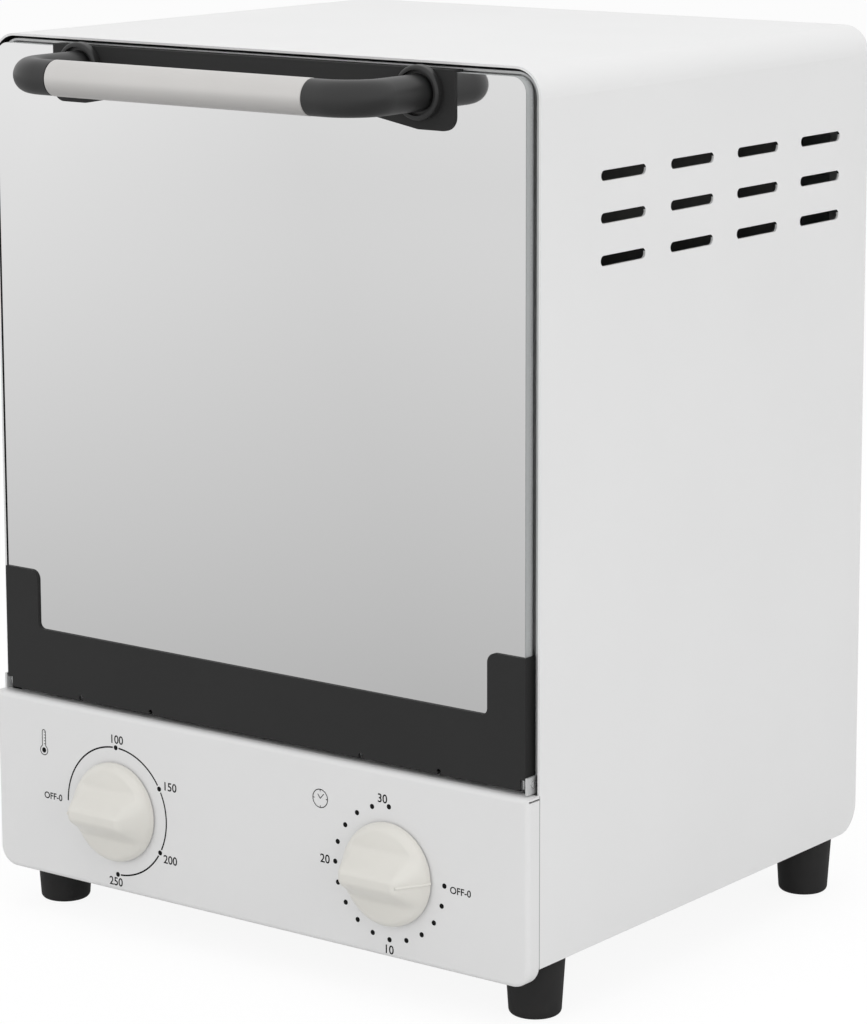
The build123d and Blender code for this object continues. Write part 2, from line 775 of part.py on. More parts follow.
def frame_face():
    ear_top = door_bottom + frame_ear_height
    inner_half = door_half - frame_ear_width
    with BuildSketch() as face:
        with Locations((0, (door_bottom + ear_top) / 2)):
            Rectangle(2 * door_half, frame_ear_height)
        with Locations((0, ear_top)):
            Rectangle(2 * inner_half, 2 * (frame_ear_height - frame_band), mode=Mode.SUBTRACT)
        inner = face.vertices().filter_by_position(Axis.X, -inner_half - sheet, inner_half + sheet)
        fillet(inner.group_by(Axis.Y)[0], frame_inner_corner)
        inner = face.vertices().filter_by_position(Axis.X, -inner_half - sheet, inner_half + sheet)
        fillet(inner.group_by(Axis.Y)[-1], frame_ear_corner)
    return face.sketch


relief_pitch = frame_tab_width + relief_radius
flange_low = hinge_z + hinge_pin_d / 2 + side_gap
flange_high = door_bottom + frame_ear_height
with BuildPart() as door_lower_frame:
    with BuildSketch(facing(door_front)):
        add(frame_face())
        for side in (-1, 1):
            with Locations((side * frame_tab_x, door_bottom + sheet)):
                with GridLocations(relief_pitch, relief_pitch, 2, 1):
                    Circle(relief_radius, mode=Mode.SUBTRACT)
            with Locations((side * (door_half - frame_notch / 2), (door_bottom + flange_low) / 2)):
                Rectangle(frame_notch, flange_low - door_bottom, mode=Mode.SUBTRACT)
    extrude(amount=-sheet)
    with BuildSketch(facing(glass_back)):
        add(frame_face())
        with Locations(*rivet_places):
            Circle(rivet_d / 2 + thread_slip, mode=Mode.SUBTRACT)
    extrude(amount=-sheet)
    with BuildSketch(facing(door_front)):
        for side in (-1, 1):
            with Locations((side * (door_half - sheet / 2), (flange_low + flange_high) / 2)):
                Rectangle(sheet, flange_high - flange_low)
            with Locations((side * frame_tab_x, door_bottom + sheet / 2)):
                Rectangle(frame_tab_width, sheet)
    extrude(amount=door_front - door_back)
save(door_lower_frame, "door_lower_frame")

# Hinge lugs inside the channel and their pins, which turn in the face frame's ears
lug_outer = door_half - lug_setback
pin_inner = lug_outer - lug_length + lug_wall
pin_outer = ear_x + sheet / 2 + pin_proud
with BuildPart() as hinge_lugs:
    for side in (-1, 1):
        with BuildSketch(Plane.YZ.offset(side * lug_outer)):
            with Locations(((glass_front + glass_back) / 2, hinge_z)):
                RectangleRounded(glass_thickness, lug_height, lug_corner)
        extrude(amount=-side * lug_length)
    for side in (-1, 1):
        with BuildSketch(Plane.YZ.offset(side * lug_outer)):
            with Locations((hinge_y, hinge_z)):
                Circle(hinge_pin_d / 2 + thread_slip)
        extrude(amount=-side * (lug_length - lug_wall), mode=Mode.SUBTRACT)
save(hinge_lugs, "hinge_lugs")

with BuildPart() as hinge_pins:
    for side in (-1, 1):
        with BuildSketch(Plane.YZ.offset(side * pin_inner)):
            with Locations((hinge_y, hinge_z)):
                Circle(hinge_pin_d / 2)
        extrude(amount=side * (pin_outer - pin_inner))
save(hinge_pins, "hinge_pins")

# Top bracket: folded over the glass's top edge, carries the handle
with BuildPart() as door_top_bracket:
    with BuildSketch(facing(door_front)) as bracket_face:
        with BuildLine():
            ear_z = glass_top - bracket_drop
            middle_z = glass_top - bracket_middle_drop
            half = bracket_width / 2
            slope_x = bracket_ear_inner - bracket_slope
            Polyline(
                (half, glass_top + sheet),
                (half, ear_z),
                (bracket_ear_inner, ear_z),
                (slope_x, middle_z),
                (-slope_x, middle_z),
                (-bracket_ear_inner, ear_z),
                (-half, ear_z),
                (-half, glass_top + sheet),
                close=True,
            )
        make_face()
        outer_low = bracket_face.vertices().group_by(Axis.Y)[0]
        fillet([outer_low.sort_by(Axis.X)[0], outer_low.sort_by(Axis.X)[-1]], bracket_corner)
        with Locations(*handle_places):
            Circle(handle_screw_d / 2 + screw_clearance, mode=Mode.SUBTRACT)
    extrude(amount=-sheet)
    with BuildSketch(facing(door_front)):
        with Locations((0, glass_top + sheet / 2)):
            Rectangle(bracket_width, sheet)
    extrude(amount=door_front - front - rim_setback + bracket_rim_gap)
save(door_top_bracket, "door_top_bracket")

# Handle: a tube between two elbows, each bolted through the bracket and the glass
tube_half = tube_length / 2
with BuildPart() as handle_tube:
    with BuildSketch(Plane.YZ.offset(-tube_half)):
        with Locations((handle_y, handle_z)):
            Circle(tube_d / 2)
            Circle(tube_d / 2 - tube_wall, mode=Mode.SUBTRACT)
    extrude(amount=tube_length)
    outer_rims = handle_tube.edges().filter_by(GeomType.CIRCLE).group_by(SortBy.RADIUS)[-1]
    chamfer(outer_rims, tube_wall / 2)
save(handle_tube, "handle_tube")

for side, name in ((-1, "handle_elbow_left"), (1, "handle_elbow_right")):
    with BuildPart() as elbow:
        with BuildLine(Plane.XY.offset(handle_z)):
            start = (side * (elbow_x - elbow_bend), handle_y)
            middle = (
                side * (elbow_x - elbow_bend * (1 - math.sin(math.pi / 4))),
                handle_y + elbow_bend * (1 - math.cos(math.pi / 4)),
            )
            end = (side * elbow_x, handle_y + elbow_bend)
            Line((side * tube_half, handle_y), start)
            ThreePointArc(start, middle, end)
            Line(end, (side * elbow_x, door_front))
        with BuildSketch(Plane(origin=(side * tube_half, handle_y, handle_z), z_dir=(side, 0, 0))):
            Circle(elbow_d / 2)
        sweep()
        with BuildSketch(Plane.YZ.offset(side * tube_half)):
            with Locations((handle_y, handle_z)):
                Circle(tube_d / 2 - tube_wall - spigot_clearance)
        extrude(amount=-side * spigot_length)
        with BuildSketch(facing(door_front)):
            with Locations((side * elbow_x, handle_z)):
                Circle(handle_screw_d / 2 + thread_slip)
        extrude(amount=handle_screw_grip, mode=Mode.SUBTRACT)
    save(elbow, name)

for side, name in ((-1, "handle_collar_left"), (1, "handle_collar_right")):
    with BuildPart() as collar:
        with BuildSketch(facing(door_front)):
            with Locations((side * elbow_x, handle_z)):
                Circle(collar_d / 2)
        extrude(amount=collar_thickness)
        fillet(collar.faces().sort_by(Axis.Y)[0].edges(), collar_round)
        with BuildSketch(facing(door_front)):
            with Locations((side * elbow_x, handle_z)):
                Circle(elbow_d / 2 + thread_slip)
        extrude(amount=collar_thickness, mode=Mode.SUBTRACT)
        with BuildSketch(facing(door_front - collar_thickness)):
            with Locations((side * elbow_x, handle_z)):
                Circle(elbow_d / 2 + collar_recess_width)
        extrude(amount=-collar_recess, mode=Mode.SUBTRACT)
    save(collar, name)

with BuildPart() as handle_washers:
    with BuildSketch(facing(glass_back)):
        with Locations(*handle_places):
            Circle(washer_d / 2)
            Circle(handle_screw_d / 2 + screw_clearance, mode=Mode.SUBTRACT)
    extrude(amount=-washer_thickness)
save(handle_washers, "handle_washers")

screw_seat = glass_back + washer_thickness
with BuildPart() as handle_screws:
    with BuildSketch(facing(screw_seat)):
        with Locations(*handle_places):
            Circle(head_d / 2)
    extrude(amount=-head_height)
    with BuildSketch(facing(screw_seat)):
        with Locations(*handle_places):
            Circle(handle_screw_d / 2)
    extrude(amount=screw_seat - door_front + handle_screw_grip)
save(handle_screws, "handle_screws")

# Door stays: curved arms that run through the face frame's slots and hook behind it when open


def ring_sector(inner, outer, low, high):
    # sector of a ring about the hinge, angles up from the rearward direction
    corners = [(hinge_y, hinge_z)]
    for angle in (low, (low + high) / 2, high):
        turn = math.radians(angle)
        corners.append((hinge_y + 2 * outer * math.cos(turn), hinge_z + 2 * outer * math.sin(turn)))
    with BuildSketch() as sector:
        with Locations((hinge_y, hinge_z)):
            Circle(outer)
            Circle(inner, mode=Mode.SUBTRACT)
        with BuildLine():
            Polyline(*corners, close=True)
        make_face(mode=Mode.INTERSECT)
    return sector.sketch


inner_r = stay_radius - stay_width / 2
outer_r = stay_radius + stay_width / 2
with BuildPart() as stay_arms:
    for side in (-1, 1):
        with BuildSketch(Plane.YZ.offset(side * stay_x - stay_thickness / 2)):
            add(ring_sector(inner_r, outer_r, stay_low, stay_start))
            add(ring_sector(inner_r, outer_r + stay_hook_height, stay_low, stay_low + stay_hook_angle))
            with Locations((tail_y, tail_z)):
                Circle(spring_hole_d / 2, mode=Mode.SUBTRACT)
            with Locations((door_back - stay_radius / 2, tail_z + stay_radius)):
                Rectangle(stay_radius, 2 * stay_radius, mode=Mode.SUBTRACT)
        extrude(amount=stay_thickness)
    with BuildSketch(facing(door_back)):
        for side in (-1, 1):
            with Locations((side * (stay_x + stay_thickness / 2 - stay_tab_width / 2), stay_tab_z)):
                Rectangle(stay_tab_width, stay_tab_height)
        with Locations(*rivet_places):
            Circle(rivet_d / 2 + thread_slip, mode=Mode.SUBTRACT)
    extrude(amount=-sheet)
save(stay_arms, "stay_arms")

rivet_seat = door_back + sheet
with BuildPart() as frame_rivets:
    with BuildSketch(facing(rivet_seat)):
        with Locations(*rivet_places):
            Circle(rivet_head_d / 2)
    extrude(amount=-rivet_head)
    with BuildSketch(facing(glass_back)):
        with Locations(*rivet_places):
            Circle(rivet_d / 2)
    extrude(amount=-2 * sheet)
save(frame_rivets, "frame_rivets")

# Door springs: from the stays' tails to lanced tabs of the base plate
spring_end = (front + spring_anchor_y, base_top + spring_anchor_rise)
spring_run = math.hypot(spring_end[0] - tail_y, spring_end[1] - tail_z)
spring_dir = (0, (spring_end[0] - tail_y) / spring_run, (spring_end[1] - tail_z) / spring_run)
for side, name in ((-1, "door_spring_left"), (1, "door_spring_right")):
    with BuildPart() as spring:
        tail_point = (side * spring_x, tail_y, tail_z)
        with BuildSketch(Plane(origin=tail_point, z_dir=spring_dir)):
            Circle(spring_wire / 2)
        extrude(amount=spring_run)
        body_start = (spring_run - spring_body) / 2
        body_point = tuple(a + body_start * b for a, b in zip(tail_point, spring_dir))
        with BuildSketch(Plane(origin=body_point, z_dir=spring_dir)):
            Circle(spring_d / 2)
        extrude(amount=spring_body)
        with BuildSketch(Plane.YZ.offset(side * (spring_x - spring_hook_d))):
            with Locations((tail_y, tail_z)):
                Circle(spring_hook_d / 2)
        extrude(amount=side * (stay_x + stay_thickness - spring_x))
        with BuildSketch(Plane.YZ.offset(side * (spring_x - spring_hook_d))):
            with Locations(spring_end):
                Circle(spring_hook_d / 2)
        extrude(amount=side * (spring_tab_x + 2 * sheet - spring_x))
    save(spring, name)

# Wire rack on the middle ledges
shelf_front = face_back + shelf_inset
rack_half = chamber_width / 2 - rack_side_gap - rack_frame_d / 2
rack_z = runner_tops[1] + rest_gap + rack_frame_d / 2
rack_y = (shelf_front + rack_frame_d / 2, shelf_front + rack_depth - rack_frame_d / 2)
wire_pitch = 2 * rack_half / (rack_wires + 1)
with BuildPart() as wire_rack:
    with BuildLine(Plane.XY.offset(rack_z)) as loop:
        Polyline(
            (-rack_half, rack_y[0]),
            (rack_half, rack_y[0]),
            (rack_half, rack_y[1]),
            (-rack_half, rack_y[1]),
            close=True,
        )
        fillet(loop.vertices(), rack_corner)
    with BuildSketch(Plane(origin=(0, rack_y[0], rack_z), z_dir=(1, 0, 0))):
        Circle(rack_frame_d / 2)
    sweep()
    with BuildSketch(facing(rack_y[0])):
        with Locations((0, rack_z)):
            with GridLocations(wire_pitch, wire_pitch, rack_wires, 1):
                Circle(rack_wire_d / 2)
    extrude(amount=rack_y[0] - rack_y[1])
save(wire_rack, "wire_rack")

# Instrument tray hung by its lip on the lowest ledges
tray_half = chamber_width / 2 - runner_width - tray_lip_gap
tray_lip_z = runner_tops[0] + rest_gap
tray_depth = rack_depth - 2 * tray_lip
tray_y = shelf_front + rack_depth / 2
with BuildPart() as instrument_tray:
    with BuildSketch(Plane.XY.offset(tray_lip_z)):
        with Locations((0, tray_y)):
            RectangleRounded(2 * (tray_half + tray_lip), tray_depth + 2 * tray_lip, tray_corner)
    extrude(amount=tray_sheet)
    with BuildSketch(Plane.XY.offset(tray_lip_z + tray_sheet - tray_height)):
        with Locations((0, tray_y)):
            RectangleRounded(2 * tray_half, tray_depth, tray_corner)
    extrude(amount=tray_height)
    with BuildSketch(Plane.XY.offset(tray_lip_z + 2 * tray_sheet - tray_height)):
        with Locations((0, tray_y)):
            RectangleRounded(
                2 * (tray_half - tray_sheet), tray_depth - 2 * tray_sheet, tray_corner - tray_sheet
            )
    extrude(amount=tray_height, mode=Mode.SUBTRACT)
save(instrument_tray, "instrument_tray")

# Terminal block and cord gland
block_y = front + block_setback
block_pitch = block_length / block_ways
with BuildPart() as terminal_block:
    with BuildSketch(Plane.XY.offset(base_top)):
        with Locations((block_x, block_y)):
            Rectangle(block_length, block_depth)
    extrude(amount=block_height)
    with BuildSketch(Plane.XY.offset(base_top + block_height)):
        with Locations((block_x, block_y)):
            with GridLocations(block_pitch, block_pitch, block_ways, 1):
                Circle(block_well_d / 2)
    extrude(amount=-block_height / 2, mode=Mode.SUBTRACT)
save(terminal_block, "terminal_block")

with BuildPart() as cord_gland:
    with BuildSketch(facing(cover_back)):
        add(disc(gland_x, gland_z, gland_d))
    extrude(amount=-gland_flange)
    with BuildSketch(facing(cover_back + gland_flange)):
        add(disc(gland_x, gland_z, gland_d - gland_flange))
    extrude(amount=gland_flange - gland_proud, taper=lean(gland_draft, gland_proud - gland_flange))
    with BuildSketch(facing(cover_back)):
        add(disc(gland_x, gland_z, gland_neck_d))
    extrude(amount=sheet + gland_inside)
    with BuildSketch(facing(cover_front)):
        add(disc(gland_x, gland_z, gland_d))
    extrude(amount=gland_flange)
    with BuildSketch(facing(cover_back + gland_proud)):
        add(disc(gland_x, gland_z, gland_bore_d))
    extrude(amount=gland_proud + sheet + gland_inside, mode=Mode.SUBTRACT)
save(cord_gland, "cord_gland")

# Feet, each on a screw with a nut inside
for place, centre in foot_places.items():
    with BuildPart() as foot:
        with BuildSketch(Plane.XY.offset(base_under)):
            with Locations(centre):
                Circle(foot_top_d / 2)
        extrude(amount=-base_under, taper=lean(foot_draft, base_under))
        fillet(foot.faces().sort_by(Axis.Z)[0].edges(), foot_edge)
        with BuildSketch():
            with Locations(centre):
                Circle(foot_recess_d / 2)
        extrude(amount=foot_recess, mode=Mode.SUBTRACT)
        with BuildSketch():
            with Locations(centre):
                Circle(foot_screw_d / 2 + screw_clearance)
        extrude(amount=base_under, mode=Mode.SUBTRACT)
    save(foot, "foot_" + place)

nut_top = base_top + nut_height
with BuildPart() as foot_screws:
    with BuildSketch(Plane.XY.offset(foot_recess)):
        with Locations(*foot_places.values()):
            Circle(foot_screw_head_d / 2)
    extrude(amount=-foot_screw_head)
    with BuildSketch(Plane.XY.offset(foot_recess)):
        with Locations(*foot_places.values()):
            Circle(foot_screw_d / 2)
    extrude(amount=nut_top - foot_recess)
save(foot_screws, "foot_screws")

with BuildPart() as foot_nuts:
    with BuildSketch(Plane.XY.offset(base_top)):
        with Locations(*foot_places.values()):
            RegularPolygon(nut_across / 2, 6, major_radius=False)
            Circle(foot_screw_d / 2 + thread_slip, mode=Mode.SUBTRACT)
    extrude(amount=nut_height)
save(foot_nuts, "foot_nuts")

with BuildPart() as cover_screws:
    with BuildSketch(facing(cover_back)):
        with Locations(*cover_screw_places):
            Circle(cover_screw_head_d / 2)
    extrude(amount=-cover_screw_head)
    with BuildSketch(facing(cover_back)):
        with Locations(*cover_screw_places):
            Circle(cover_screw_d / 2 - thread_slip)
    extrude(amount=cover_screw_length)
save(cover_screws, "cover_screws")
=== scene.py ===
import bpy
import bmesh
import math
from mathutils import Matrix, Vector


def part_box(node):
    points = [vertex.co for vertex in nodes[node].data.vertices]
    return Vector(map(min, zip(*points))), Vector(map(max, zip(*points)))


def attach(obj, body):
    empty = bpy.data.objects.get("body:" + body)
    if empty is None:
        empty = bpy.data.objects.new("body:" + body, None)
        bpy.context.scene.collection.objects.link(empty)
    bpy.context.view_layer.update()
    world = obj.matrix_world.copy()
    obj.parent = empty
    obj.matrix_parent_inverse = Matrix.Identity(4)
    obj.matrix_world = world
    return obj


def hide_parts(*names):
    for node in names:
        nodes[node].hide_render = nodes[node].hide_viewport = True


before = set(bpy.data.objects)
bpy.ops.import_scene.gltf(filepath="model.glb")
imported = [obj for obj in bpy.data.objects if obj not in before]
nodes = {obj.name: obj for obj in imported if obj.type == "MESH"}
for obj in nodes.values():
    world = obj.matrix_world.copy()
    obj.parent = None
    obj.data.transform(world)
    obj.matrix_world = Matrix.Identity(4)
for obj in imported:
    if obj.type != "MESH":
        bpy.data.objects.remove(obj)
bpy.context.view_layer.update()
mm = 0.001
panelLow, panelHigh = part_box("control_panel")
panelFace = panelLow[1]  # y of the control panel's face
panelFoot = panelLow[2]  # z of its lower edge
print("frame loaded,", len(nodes), "nodes")


# small tools used by every finish

def fromHex(code):
    # sRGB hex to the linear colour that the shaders use
    channels = [int(code[i:i + 2], 16) / 255 for i in (1, 3, 5)]
    linear = [c / 12.92 if c <= 0.04045 else ((c + 0.055) / 1.055) ** 2.4 for c in channels]
    return (*linear, 1.0)


def perMetre(size):
    # texture scale for a pattern whose grain is size millimetres
    return 1000.0 / size


def addNode(tree, kind, settings=None, links=None):
    node = tree.nodes.new(kind)
    for key, value in (settings or {}).items():
        if isinstance(key, str) and hasattr(node, key):
            setattr(node, key, value)
        else:
            node.inputs[key].default_value = value
    for key, source in (links or {}).items():
        tree.links.new(source, node.inputs[key])
    return node


def startMaterial(name):
    material = bpy.data.materials.new(name)
    material.use_nodes = True
    tree = material.node_tree
    tree.nodes.clear()
    place = addNode(tree, "ShaderNodeTexCoord")
    surface = addNode(tree, "ShaderNodeBsdfPrincipled")
    addNode(tree, "ShaderNodeOutputMaterial", links={"Surface": surface.outputs["BSDF"]})
    return material, tree, place.outputs["Object"], surface


def dress(material, *names):
    for name in names:
        mesh = nodes[name].data
        mesh.materials.clear()
        mesh.materials.append(material)


def newPiece(name, mesh, material, body):
    piece = bpy.data.objects.new(name, mesh)
    bpy.context.scene.collection.objects.link(piece)
    mesh.materials.clear()
    mesh.materials.append(material)
    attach(piece, body)
    return piece


# finishes, and the CAD pieces that wear them

def coatedFinish(spec):
    # sprayed or moulded skin: faint clouds in the colour, a fine bump, softened edges
    material, tree, where, surface = startMaterial(spec["name"])
    clouds = addNode(tree, "ShaderNodeTexNoise", {"Scale": perMetre(spec["cloudMm"]), "Detail": 3.0},
                     {"Vector": where})
    tone = addNode(tree, "ShaderNodeMix",
                   {"data_type": "RGBA", 6: fromHex(spec["colour"]), 7: fromHex(spec["shade"])},
                   {0: clouds.outputs["Fac"]})
    grain = addNode(tree, "ShaderNodeTexNoise",
                    {"Scale": perMetre(spec["grainMm"]), "Detail": 4.0, "Roughness": 0.55},
                    {"Vector": where})
    gloss = addNode(tree, "ShaderNodeMapRange",
                    {"To Min": spec["roughness"][0], "To Max": spec["roughness"][1]},
                    {"Value": grain.outputs["Fac"]})
    edge = addNode(tree, "ShaderNodeBevel", {"samples": 4, "Radius": spec["edgeMm"] * mm})
    bump = addNode(tree, "ShaderNodeBump", {"Strength": 1.0, "Distance": spec["depthMm"] * mm},
                   {"Height": grain.outputs["Fac"], "Normal": edge.outputs["Normal"]})
    tree.links.new(tone.outputs[2], surface.inputs["Base Color"])
    tree.links.new(gloss.outputs["Result"], surface.inputs["Roughness"])
    tree.links.new(bump.outputs["Normal"], surface.inputs["Normal"])
    surface.inputs["Specular IOR Level"].default_value = spec.get("shine", 0.5)
    return material


def brushedFinish(spec):
    # metal with fine lines along one axis, and clouds where handling or heat has dulled it
    material, tree, where, surface = startMaterial(spec["name"])
    stretch = addNode(tree, "ShaderNodeMapping",
                      {"Scale": [perMetre(size) for size in spec["lineMm"]]}, {"Vector": where})
    lines = addNode(tree, "ShaderNodeTexNoise", {"Scale": 1.0, "Detail": 3.0},
                    {"Vector": stretch.outputs["Vector"]})
    clouds = addNode(tree, "ShaderNodeTexNoise", {"Scale": perMetre(spec["cloudMm"]), "Detail": 2.0},
                     {"Vector": where})
    tone = addNode(tree, "ShaderNodeMix",
                   {"data_type": "RGBA", 6: fromHex(spec["colour"]), 7: fromHex(spec["shade"])},
                   {0: clouds.outputs["Fac"]})
    gloss = addNode(tree, "ShaderNodeMapRange",
                    {"To Min": spec["roughness"][0], "To Max": spec["roughness"][1]},
                    {"Value": lines.outputs["Fac"]})
    bump = addNode(tree, "ShaderNodeBump", {"Strength": 1.0, "Distance": spec["depthMm"] * mm},
                   {"Height": lines.outputs["Fac"]})
    tree.links.new(tone.outputs[2], surface.inputs["Base Color"])
    tree.links.new(gloss.outputs["Result"], surface.inputs["Roughness"])
    tree.links.new(bump.outputs["Normal"], surface.inputs["Normal"])
    surface.inputs["Metallic"].default_value = spec.get("metal", 1.0)
    return material


def casingFinish(spec):
    # the coat covers the outer faces and the cut edges; the inner faces are painted near black, painted
    # shade for the narrow gaps round the door and the walls of the vent slots
    material = coatedFinish(spec)
    tree = material.node_tree
    surface = next(n for n in tree.nodes if n.type == "BSDF_PRINCIPLED")
    place = next(n for n in tree.nodes if n.type == "TEX_COORD")
    low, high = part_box("outer_casing")
    middle = [(a + b) / 2 for a, b in zip(low, high)]
    inward = addNode(tree, "ShaderNodeVectorMath", {"operation": "SUBTRACT", 0: middle},
                     {1: place.outputs["Object"]})
    # only the direction across the casing counts, so the cut edges stay painted
    flat = addNode(tree, "ShaderNodeVectorMath", {"operation": "MULTIPLY", 1: (1.0, 0.0, 1.0)},
                   {0: inward.outputs["Vector"]})
    facing = addNode(tree, "ShaderNodeVectorMath", {"operation": "DOT_PRODUCT"},
                     {0: flat.outputs["Vector"], 1: place.outputs["Normal"]})
    # painted shade: faces that turn into the casing take the near-black tone
    inside = addNode(tree, "ShaderNodeMath", {"operation": "GREATER_THAN", 1: spec["turnedIn"]},
                     {0: facing.outputs["Value"]})
    # beside the panel a fine grey line is painted along the front edge: a painted shadow for the joint
    # between panel and casing
    spot = addNode(tree, "ShaderNodeSeparateXYZ", links={"Vector": place.outputs["Object"]})
    near = addNode(tree, "ShaderNodeMath", {"operation": "LESS_THAN", 1: low[1] + spec["seamMm"] * mm},
                   {0: spot.outputs["Y"]})
    beside = addNode(tree, "ShaderNodeMath", {"operation": "LESS_THAN", 1: panelHigh[2]},
                     {0: spot.outputs["Z"]})
    seam = addNode(tree, "ShaderNodeMath", {"operation": "MULTIPLY"},
                   {0: near.outputs["Value"], 1: beside.outputs["Value"]})
    painted = surface.inputs["Base Color"].links[0].from_socket
    # painted shadow line along the front edge beside the panel
    seamShaded = addNode(tree, "ShaderNodeMix", {"data_type": "RGBA", 7: fromHex(spec["seam"])},
                    {0: seam.outputs["Value"], 6: painted})
    # painted shade over the inner faces
    tone = addNode(tree, "ShaderNodeMix", {"data_type": "RGBA", 7: fromHex(spec["inside"])},
                   {0: inside.outputs["Value"], 6: seamShaded.outputs[2]})
    tree.links.new(tone.outputs[2], surface.inputs["Base Color"])
    return material


# Powder-coated sheet steel, sprayed and baked: an even off-white with a very fine orange peel
coverSpec = {"name": "powderCoatedCover", "colour": "#EAEAEA", "shade": "#E6E6E6", "cloudMm": 60.0,
             "grainMm": 0.7, "depthMm": 0.006, "roughness": (0.42, 0.52), "edgeMm": 0.12, "shine": 0.4}
dress(coatedFinish(coverSpec), "rear_cover")
# the near-black tone for the inner faces is painted shade
casingSpec = dict(coverSpec, name="powderCoatedCasing", inside="#1C1C1C", turnedIn=0.03,
                  # the grey line's tone and width are a painted shadow beside the panel
                  seam="#A2A2A2", seamMm=0.35)
dress(casingFinish(casingSpec), "outer_casing")

# The same powder coat on the folded front pan, painted a shade greyer than the cover: painted shade for
# the lower light that it gets
panelSpec = dict(coverSpec, name="powderCoatedPanel", colour="#E8E8E8", shade="#E4E4E4", edgeMm=0.2)
dress(coatedFinish(panelSpec), "control_panel")

# Black powder coat on the door's folded steel: charcoal, nearly matt, with a finer tooth
blackSpec = {"name": "blackPowderCoat", "colour": "#2E2E2E", "shade": "#2A2A2A", "cloudMm": 40.0,
             "grainMm": 0.4, "depthMm": 0.008, "roughness": (0.5, 0.62), "edgeMm": 0.3, "shine": 0.2}
blackCoat = coatedFinish(blackSpec)
dress(blackCoat, "door_lower_frame", "door_top_bracket")

# Moulded nylon of the elbows and collars: black with a soft sheen and a spark-eroded grain
elbowSpec = {"name": "mouldedNylonBlack", "colour": "#262626", "shade": "#212121", "cloudMm": 25.0,
             "grainMm": 0.35, "depthMm": 0.01, "roughness": (0.36, 0.46), "edgeMm": 0.25, "shine": 0.5}
blackNylon = coatedFinish(elbowSpec)
dress(blackNylon, "handle_elbow_left", "handle_elbow_right", "handle_collar_left",
      "handle_collar_right", "cord_gland")

# Moulded rubber feet: black, matt, slightly dusty
footSpec = {"name": "mouldedRubber", "colour": "#262626", "shade": "#2D2C2C", "cloudMm": 6.0,
            "grainMm": 0.3, "depthMm": 0.012, "roughness": (0.55, 0.7), "edgeMm": 0.4, "shine": 0.25}
dress(coatedFinish(footSpec), *[name for name in nodes if name.startswith(("foot_front", "foot_rear"))])

# ABS knobs, injection moulded: warm white with a soft gloss
knobSpec = {"name": "mouldedAbsWhite", "colour": "#E4E2DC", "shade": "#E0DED7", "cloudMm": 15.0,
            "grainMm": 0.8, "depthMm": 0.003, "roughness": (0.3, 0.38), "edgeMm": 0.3, "shine": 0.5}
knobAbs = coatedFinish(knobSpec)

# Satin anodised aluminium tube, drawn and rubbed lengthwise: pale warm grey, long soft highlight
tubeSpec = {"name": "anodisedAluminium", "colour": "#D4D2D0", "shade": "#CCCAC8", "cloudMm": 30.0,
            "lineMm": (25.0, 0.25, 0.25), "depthMm": 0.003, "roughness": (0.34, 0.44), "metal": 0.75}
dress(brushedFinish(tubeSpec), "handle_tube")

# Stainless sheet with a mill brush that runs up and down
steelSpec = {"name": "brushedStainless", "colour": "#D2D1CF", "shade": "#C4C3C1", "cloudMm": 50.0,
             "lineMm": (0.3, 0.3, 30.0), "depthMm": 0.004, "roughness": (0.28, 0.42)}
stainless = brushedFinish(steelSpec)
dress(stainless, "shelf_runners", "stay_arms", "instrument_tray", "thermostat_shaft", "timer_shaft")


def linerFinish(spec):
    # the inner faces get the same brushed sheet; the outer faces are painted dark grey, matt and not
    # metallic, painted shade for the dark seen through the vent slots
    material = brushedFinish(spec)
    tree = material.node_tree
    surface = next(n for n in tree.nodes if n.type == "BSDF_PRINCIPLED")
    place = next(n for n in tree.nodes if n.type == "TEX_COORD").outputs["Object"]
    axes = addNode(tree, "ShaderNodeSeparateXYZ", links={"Vector": place})
    across = addNode(tree, "ShaderNodeMath", {"operation": "ABSOLUTE"}, {0: axes.outputs["X"]})
    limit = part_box("shelf_runners")[1][0] + spec["skinMm"] * mm
    outside = addNode(tree, "ShaderNodeMath", {"operation": "GREATER_THAN", 1: limit},
                      {0: across.outputs["Value"]})
    # painted shade: the outer faces take the dark grey
    painted = surface.inputs["Base Color"].links[0].from_socket
    tone = addNode(tree, "ShaderNodeMix", {"data_type": "RGBA", 7: fromHex(spec["outside"])},
                   {0: outside.outputs["Value"], 6: painted})
    metal = addNode(tree, "ShaderNodeMath", {"operation": "SUBTRACT", 0: 1.0},
                    {1: outside.outputs["Value"]})
    tree.links.new(tone.outputs[2], surface.inputs["Base Color"])
    tree.links.new(metal.outputs["Value"], surface.inputs["Metallic"])
    return material


# the dark grey of the outer faces is painted shade
linerSpec = dict(steelSpec, name="brushedStainlessLiner", outside="#5A5957", skinMm=0.4)
dress(linerFinish(linerSpec), "chamber_liner")

# Satin aluminised sheet of the door's frame: pale silver, soft, hardly mirrors
frameSpec = {"name": "aluminisedSheet", "colour": "#DCDDDD", "shade": "#CFD0D0", "cloudMm": 30.0,
             "lineMm": (0.5, 0.5, 12.0), "depthMm": 0.003, "roughness": (0.4, 0.55), "metal": 0.45}
dress(brushedFinish(frameSpec), "face_frame")

# Nickel-plated hinge parts: neutral silver, softly polished
nickelSpec = {"name": "nickelPlate", "colour": "#DADBDB", "shade": "#CBCCCC", "cloudMm": 6.0,
              "lineMm": (0.4, 0.4, 0.4), "depthMm": 0.002, "roughness": (0.22, 0.32), "metal": 0.8}
dress(brushedFinish(nickelSpec), "hinge_lugs", "hinge_pins")

